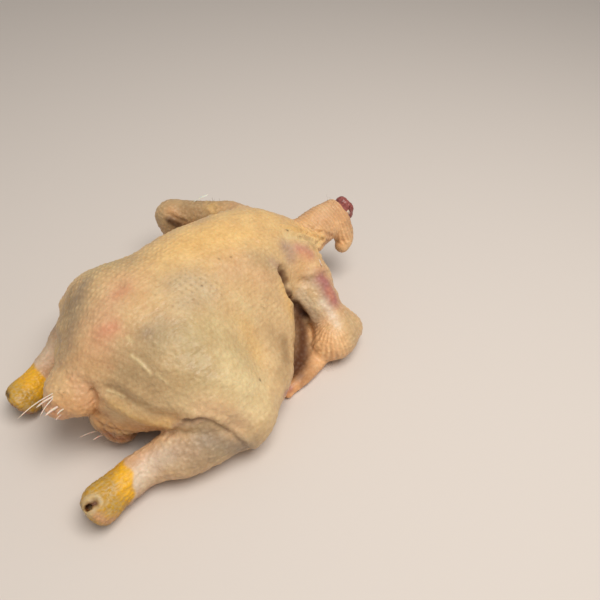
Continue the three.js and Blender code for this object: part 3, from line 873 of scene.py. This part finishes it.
# Marks on top of the yellow hocks, in the same way
marks = [
    ("web", [(86, 499), (91, 496), (98, 497), (101, 504)], 1.6, 0.8),
    ("hole", [(88, 507), (91, 505), (95, 503)], 2.8, 0.95),
    # Painted shade deep in the tendon hole
    ("dark", [(88, 507), (91, 505)], 1.3, 0.8),
    ("pink", [(97, 517), (106, 522), (114, 520)], 3.2, 0.7),
    ("mauve", [(125, 517), (132, 505), (141, 495)], 2.4, 0.7),
    ("purple", [(10, 407), (22, 413), (36, 419)], 2.6, 0.75),
    ("dark", [(6, 392), (8, 396)], 1.6, 0.85),
    ("dark", [(13, 411), (24, 416), (34, 420)], 1.2, 0.7),
]

# Strengths of the tones that follow the relief, among them painted shade under the hocks and painted
# shade and light that follow the skin's height, and of the patches on the bird's other side
brush = {
    "otherSide": 0.8,
    "hockYellow": 0.95,
    "underHockShade": 0.35,
    "hockPale": 0.85,
    "netOnYellow": 0.12,
    "netOnPale": 0.32,
    "holeWeb": 0.7,
    "hole": 0.95,
    "darkDots": 0.34,
    "lightDots": 0.14,
    "lightDotsLeft": 0.16,
    "bumps": 0.08,
    "wrinkleShade": 0.05,
    "height": 0.11,
    "greyPatch": [(172, 292), (188, 284), (204, 292)],  # where the dots are dark
}


class Paint:
    def __init__(self):
        self.colour = np.tile(linearColour(tones["cream"]), (len(skin.points), 1))
        self.wander = softNoise(skin.points, 9 * mm, 1) + 0.6 * softNoise(skin.points, 4 * mm, 2)

    def along(self, line, tone, reach, strength):
        chosen, d, nearest = skin.near(line, reach * mm * 2.2)
        spread = 1 + 0.5 * self.wander[chosen]
        weight = strength * np.exp(-((d / (reach * mm)) ** 2) * spread)
        self.colour[chosen] += weight[:, None] * (linearColour(tones[tone]) - self.colour[chosen])

    def patched(self, rows):
        for tone, path, reach, strength, *both in rows:
            line = seenLine(path)
            self.along(line, tone, reach, strength)
            if both:
                self.along(mirroredLine(line), tone, reach, strength * brush["otherSide"])

    def over(self, weight, tone):
        weight = np.clip(weight, 0, 1)[:, None]
        self.colour += weight * (linearColour(tones[tone]) - self.colour)


def colourSkin(found):
    paint = Paint()
    p = skin.points
    for tone, path, reach, strength in areas:
        paint.along(placedLine(path), tone, reach, strength)
    paint.patched(patches)

    # Hocks: yellow skin that ends sharply, paler towards the cut, a pale net between its scales
    behind, hockness, side = found["behind"], found["hockness"], found["side"]
    paleFrom = np.array([hock["pale"] for hock in hocks])[side]
    paint.over(brush["hockYellow"] * hockness, "hockYellow")
    # Painted shade: brown on the hocks where their skin faces down
    under = 1 - ramp(-0.5, 0.6, skin.normals[:, 2])
    paint.over(brush["underHockShade"] * hockness * under, "brownAndShade")
    paled = hockness * (1 - ramp(paleFrom - 6, paleFrom + 4, behind + 3.5 * paint.wander))
    paint.over(brush["hockPale"] * paled, "hockPale")
    webbed = brush["netOnYellow"] * hockness + brush["netOnPale"] * paled
    paint.over(found["net"] * webbed, "web")
    hole = np.linalg.norm(p - placed(tendonHole), axis=1) / mm + 0.7 * paint.wander
    paint.over(brush["holeWeb"] * bell(hole - 4.6, 1.3), "web")
    paint.over(brush["hole"] * (1 - ramp(2.2, 3.9, hole)), "hole")
    paint.patched(marks)

    # Follicles are light on the back and dark in its grey patch, and bumps on the limbs are lighter
    dots = bell(found["dot"], 0.2)
    greyness = np.zeros(len(p))
    chosen, d, nearest = skin.near(seenLine(brush["greyPatch"]), 24 * mm)
    greyness[chosen] = 1 - ramp(10 * mm, 22 * mm, d)
    limbs = np.max(list(found["share"].values()), axis=0)
    paint.over(brush["darkDots"] * greyness * dots * ramp(-0.4, 0.4, paint.wander), "dark")
    light = (1 - greyness) * (1 - limbs) * dots * ramp(-1.2, 0.3, paint.wander)
    paint.over((brush["lightDots"] + brush["lightDotsLeft"] * found["leftSide"]) * light, "pale")
    paint.over(brush["bumps"] * found["bumps"] * limbs * (1 - hockness), "white")
    # Painted shade and light: the colour darkens in the grooves of folds and wrinkles and lightens where
    # the skin is raised
    raised = brush["wrinkleShade"] * np.clip(found["wrinkle"], -1, 1)
    raised += brush["height"] * np.clip(found["height"] / 0.4, -1, 1)
    paint.colour *= (1 + raised)[:, None]
    return np.clip(paint.colour, 0, 1)


# Where the skin is wet and shines: the photograph's points and the reach
wetSpots = [
    ([(238, 296), (248, 308), (256, 322)], 9),
    ([(128, 337), (131, 352)], 8),
    ([(322, 302), (330, 312), (338, 326)], 6),
    ([(200, 396), (225, 398), (250, 404)], 9),
]


# What is added to the roughness
def dullness(found):
    dull = 0.4 * found["share"]["armpits"]
    for path, reach in wetSpots:
        chosen, d, nearest = skin.near(seenLine(path), reach * mm * 2)
        dull[chosen] -= 0.12 * bell(d, reach * mm)
    return dull


found = reliefSkin()
colour = colourSkin(found)
skin.points = np.clip(skin.points, np.array(cadBox[0]), np.array(cadBox[1]))
skin.update()
layer = skin.mesh.color_attributes.new("skinColour", "FLOAT_COLOR", "POINT")
layer.data.foreach_set("color", np.hstack([colour, np.ones((len(colour), 1))]).ravel())
skin.mesh.attributes.new("dullness", "FLOAT", "POINT").data.foreach_set("value", dullness(found))
skinMaterial = makeSkinMaterial()
skinPiece = newPiece("skin", skin.mesh, skinMaterial)
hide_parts("chicken")
shapedTree = skin.tree()
print("skin shaped and coloured")


# Meat of the neck, with the end of the bone in it

meatLook = {
    "cell": 0.7 * mm,
    "softenRounds": 6,
    "tone": "#96504a",
    "darkTone": "#542224",
    "fatTone": "#9a5f5b",
    "lump": 0.7 * mm,
    "strandScale": 260,
    "roughness": 0.28,
    "grainHeight": 0.25 * mm,
}
boneLook = {
    "seen": (348.5, 211.5),
    "radius": 1.9,
    "ring": 0.55,
    "sides": 20,
    "tone": "#d8c6b4",
    "otherTone": "#b99a84",
}


def makeMeatMaterial():
    material, nodes, links, shader = newMaterial("raw neck meat")
    place = addNode(nodes, "ShaderNodeTexCoord")
    strands = noiseNode(nodes, links, place, meatLook["strandScale"], 4, 0.6)
    tone = addNode(nodes, "ShaderNodeValToRGB")
    stops = tone.color_ramp.elements
    stops[0].position, stops[1].position = 0.34, 0.72
    stops[0].color = (*linearColour(meatLook["darkTone"]), 1)
    stops[1].color = (*linearColour(meatLook["fatTone"]), 1)
    middle = stops.new(0.52)
    middle.color = (*linearColour(meatLook["tone"]), 1)
    links.new(strands.outputs["Fac"], tone.inputs["Fac"])
    links.new(tone.outputs["Color"], shader.inputs["Base Color"])
    shader.inputs["Roughness"].default_value = meatLook["roughness"]
    shader.inputs["Subsurface Weight"].default_value = 0.15
    shader.inputs["Subsurface Radius"].default_value = (1.0, 0.3, 0.2)
    shader.inputs["Subsurface Scale"].default_value = 2 * mm
    normal = bumped(nodes, links, strands.outputs["Fac"], 0.5, meatLook["grainHeight"])
    links.new(normal, shader.inputs["Normal"])
    return material


def makePlainMaterial(name, tone, other, roughness, scale, clear=0.0):
    material, nodes, links, shader = newMaterial(name)
    place = addNode(nodes, "ShaderNodeTexCoord")
    mottle = noiseNode(nodes, links, place, scale)
    blend = addNode(nodes, "ShaderNodeMix", data_type="RGBA")
    blend.inputs["A"].default_value = (*linearColour(tone), 1)
    blend.inputs["B"].default_value = (*linearColour(other), 1)
    links.new(mottle.outputs["Fac"], blend.inputs["Factor"])
    links.new(blend.outputs["Result"], shader.inputs["Base Color"])
    shader.inputs["Roughness"].default_value = roughness
    shader.inputs["Subsurface Weight"].default_value = clear
    shader.inputs["Subsurface Scale"].default_value = 1.5 * mm
    return material


def makeNeckMeat():
    meat = Surface(remeshed(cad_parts["neck_flesh"].data.copy(), meatLook["cell"]))
    meat.soften(meatLook["softenRounds"])
    first, second = strewn(meat.points, 3.2 * mm, 6)
    free = ramp(160, 166, (meat.points / mm - toOrigin)[:, 1])
    seams = bell(second - first, 0.2)
    meat.lift(meatLook["lump"] * free * (0.5 * softNoise(meat.points, 5 * mm, 3) - 0.5 * seams))
    meat.points = np.clip(meat.points, np.array(cadBox[0]), np.array(cadBox[1]))
    meat.update()
    piece = newPiece("neck_meat", meat.mesh, makeMeatMaterial())
    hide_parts("neck_flesh")
    return meat


neckMeat = makeNeckMeat()


# The bone shows as a pale ring with a sunken middle, set into the meat
def makeBone():
    at = np.array(seen(*boneLook["seen"], tree=neckMeat.tree()))
    away = -unit(sightLine(*boneLook["seen"]))
    out = unit(0.35 * away + unit((0.25, 1, 0.1)))
    turn = Vector(out).to_track_quat("Z", "Y").to_matrix()
    # Radius and height of each ring of points, as shares of the bone's radius
    rows = [(0.0, -0.5), (0.5, -0.42), (1.0 - boneLook["ring"], -0.3)]
    rows += [(0.62, 0.22), (0.85, 0.32), (1.0, 0.1), (1.02, -1.2)]
    points, faces = [], []
    sides = boneLook["sides"]
    for radius, height in rows:
        for k in range(sides):
            turned = 2 * math.pi * k / sides
            reach = radius * (1 + 0.08 * math.sin(3 * turned + 1))
            spot = Vector((reach * math.cos(turned), reach * math.sin(turned), height))
            points.append(at + np.array(turn @ spot) * boneLook["radius"] * mm)
    for ring in range(len(rows) - 1):
        for k in range(sides):
            a, b = ring * sides + k, ring * sides + (k + 1) % sides
            faces.append((a, b, b + sides, a + sides))
    mesh = meshOf(np.clip(points, cadBox[0], cadBox[1]), faces, "bone")
    material = makePlainMaterial("cut bone", boneLook["tone"], boneLook["otherTone"], 0.4, 500)
    mesh.materials.append(material)
    return mesh


boneMesh = makeBone()
bonePiece = newPiece("neck_bone", boneMesh, boneMesh.materials[0])
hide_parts("neck_flesh")
print("neck meat made")


# Feather stubs, hairs and the feather on the wing

quillLook = {
    "tone": "#efe6da",
    "rootTone": "#c9a78c",
    "sides": 8,
    "steps": 10,
    "sink": 2.5,  # millimetres under the skin
    "bend": 0.06,
    "slim": 0.8,  # of the stub's radius in the part
}


# A tapered tube along a line: sides round it and a radius for each of its points
def tube(line, radii, sides, flat=1.0, up=(0, 0, 1)):
    points, faces = [], []
    for k, spot in enumerate(line):
        ahead = unit(line[min(k + 1, len(line) - 1)] - line[max(k - 1, 0)])
        across = unit(np.cross(ahead, up))
        over = np.cross(across, ahead)
        for side in range(sides):
            turned = 2 * math.pi * side / sides
            aside = across * math.cos(turned) + over * flat * math.sin(turned)
            points.append(spot + radii[k] * aside)
    for ring in range(len(line) - 1):
        for side in range(sides):
            a, b = ring * sides + side, ring * sides + (side + 1) % sides
            faces.append((a, b, b + sides, a + sides))
    faces.append(tuple(reversed(range(sides))))
    faces.append(tuple(range((len(line) - 1) * sides, len(line) * sides)))
    return points, faces


def gathered(parts):
    points, faces = [], []
    for some, around in parts:
        faces += [tuple(k + len(points) for k in face) for face in around]
        points += some
    return points, faces


def quill(name):
    root, tip, radius = stubs[name]
    root, tip = placed(root), placed(tip)
    way = unit(tip - root)
    length = np.linalg.norm(tip - root)
    side = unit(np.cross(way, (0, 0, 1)))
    t = np.linspace(-quillLook["sink"] * mm / length, 1, quillLook["steps"])
    sag = quillLook["bend"] * length * np.sin(np.clip(t, 0, 1) * math.pi)
    line = root + t[:, None] * length * way + sag[:, None] * side
    taper = np.interp(t, [0, 0.7, 0.93, 1], [1, 0.85, 0.6, 0.2])
    return tube(line, quillLook["slim"] * radius * mm * taper, quillLook["sides"])


def featherPiece(name, parts, material):
    points, faces = gathered(parts)
    points = np.clip(np.array(points), cadBox[0], cadBox[1])
    piece = newPiece(name, meshOf(points, faces, name), material)
    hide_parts("chicken")
    return piece


quillTones = (quillLook["tone"], quillLook["rootTone"])
quillMaterial = makePlainMaterial("feather quill", *quillTones, 0.35, 260, 0.3)
for group in ("tail", "vent"):
    quills = [quill(name) for name in stubs if name.startswith(group)]
    featherPiece(group + "_quills", quills, quillMaterial)
featherPiece("shoulder_quill", [quill("shoulder")], quillMaterial)

plume = {
    "width": 1.7 * mm,
    "bend": 1.6 * mm,
    "steps": 14,
    "shaft": 0.32 * mm,
    "tone": "#f3eee6",
    "otherTone": "#d9cdbd",
}


# A small white feather, flat and bent over the wing
def wingPlume():
    root, tip, radius = stubs["wingPlume"]
    root, tip = placed(root), placed(tip)
    t = np.linspace(-0.15, 1, plume["steps"])
    line = root + t[:, None] * (tip - root)
    line[:, 2] += plume["bend"] * np.sin(np.clip(t, 0, 1) * math.pi) * 0.5
    width = np.interp(t, [-0.15, 0.1, 0.45, 0.8, 1], [0.25, 0.4, 1.0, 0.9, 0.15]) * plume["width"]
    return [tube(line, width, 10, 0.14), tube(line, np.full(len(t), plume["shaft"]), 6)]


plumeMaterial = makePlainMaterial("feather", plume["tone"], plume["otherTone"], 0.6, 700, 0.2)
featherPiece("wing_feather", wingPlume(), plumeMaterial)

# Fine hairs that are left after plucking: where they show, their length and how many stand there
hairs = {
    "seed": 11,
    "radius": 0.09 * mm,
    "tone": "#8f7a60",
    "otherTone": "#5e4a38",
    "places": [
        ((333, 199), 8, 3),
        ((329, 364), 7, 4),
        ((322, 366), 5, 3),
        ((319, 268), 4, 1),
        ((213, 199), 4, 5),
        ((262, 306), 3, 4),
        ((150, 440), 3, 4),
        ((116, 437), 5, 4),
        ((60, 392), 5, 4),
        ((86, 415), 5, 4),
        ((300, 232), 4, 5),
    ],
}


def makeHairs():
    draw = np.random.default_rng(hairs["seed"])
    parts = []
    for spot, length, count in hairs["places"]:
        for _ in range(count):
            x, y = np.array(spot) + draw.normal(0, 2.5, 2)
            root, normal = shapedTree.find_nearest(seen(x, y))[:2]
            way = unit(np.array(normal) + draw.normal(0, 0.35, 3))
            bend = draw.normal(0, 0.25, 3)
            t = np.linspace(-0.15, 1, 6)[:, None]
            reach = length * mm * draw.uniform(0.6, 1.1)
            line = np.array(root) + reach * (t * way + t**2 * bend)
            parts.append(tube(line, hairs["radius"] * np.linspace(1, 0.4, 6), 4))
    return parts


hairMaterial = makePlainMaterial("hair", hairs["tone"], hairs["otherTone"], 0.5, 300)
featherPiece("hairs", makeHairs(), hairMaterial)
print("feathers and hairs made")


# Floor and light

studio = {
    "floorTone": "#d8cfc9",
    "worldTone": (1.0, 0.965, 0.91),
    "worldStrength": 0.34,
    "lampTone": (1.0, 0.965, 0.9),
    "lampPlace": (0.42, 0.02, 1.2),
    "lampSide": 0.8,
    "lampPower": 13.5,
}


def makeStudio():
    material, nodes, links, shader = newMaterial("pale floor")
    shader.inputs["Base Color"].default_value = (*linearColour(studio["floorTone"]), 1)
    shader.inputs["Roughness"].default_value = 0.75
    side = 4.0
    corners = [(-side, -side, 0), (side, -side, 0), (side, side, 0), (-side, side, 0)]
    mesh = meshOf(corners, [(0, 1, 2, 3)], "floor")
    mesh.materials.append(material)
    floor = bpy.data.objects.new("floor", mesh)
    bpy.context.scene.collection.objects.link(floor)

    world = bpy.data.worlds.new("studio")
    world.use_nodes = True
    world.node_tree.nodes["Background"].inputs["Color"].default_value = (*studio["worldTone"], 1)
    world.node_tree.nodes["Background"].inputs["Strength"].default_value = studio["worldStrength"]
    bpy.context.scene.world = world
    # Plain colours, as a camera gives them
    bpy.context.scene.view_settings.view_transform = "Standard"

    lamp = bpy.data.lights.new("softbox", "AREA")
    lamp.shape = "SQUARE"
    lamp.size = studio["lampSide"]
    lamp.energy = studio["lampPower"]
    lamp.color = studio["lampTone"]
    softbox = bpy.data.objects.new("softbox", lamp)
    bpy.context.scene.collection.objects.link(softbox)
    place = Vector(studio["lampPlace"])
    turn = (-place).to_track_quat("-Z", "Y").to_matrix().to_4x4()
    softbox.matrix_world = Matrix.Translation(place) @ turn


makeStudio()
print("floor and light made")
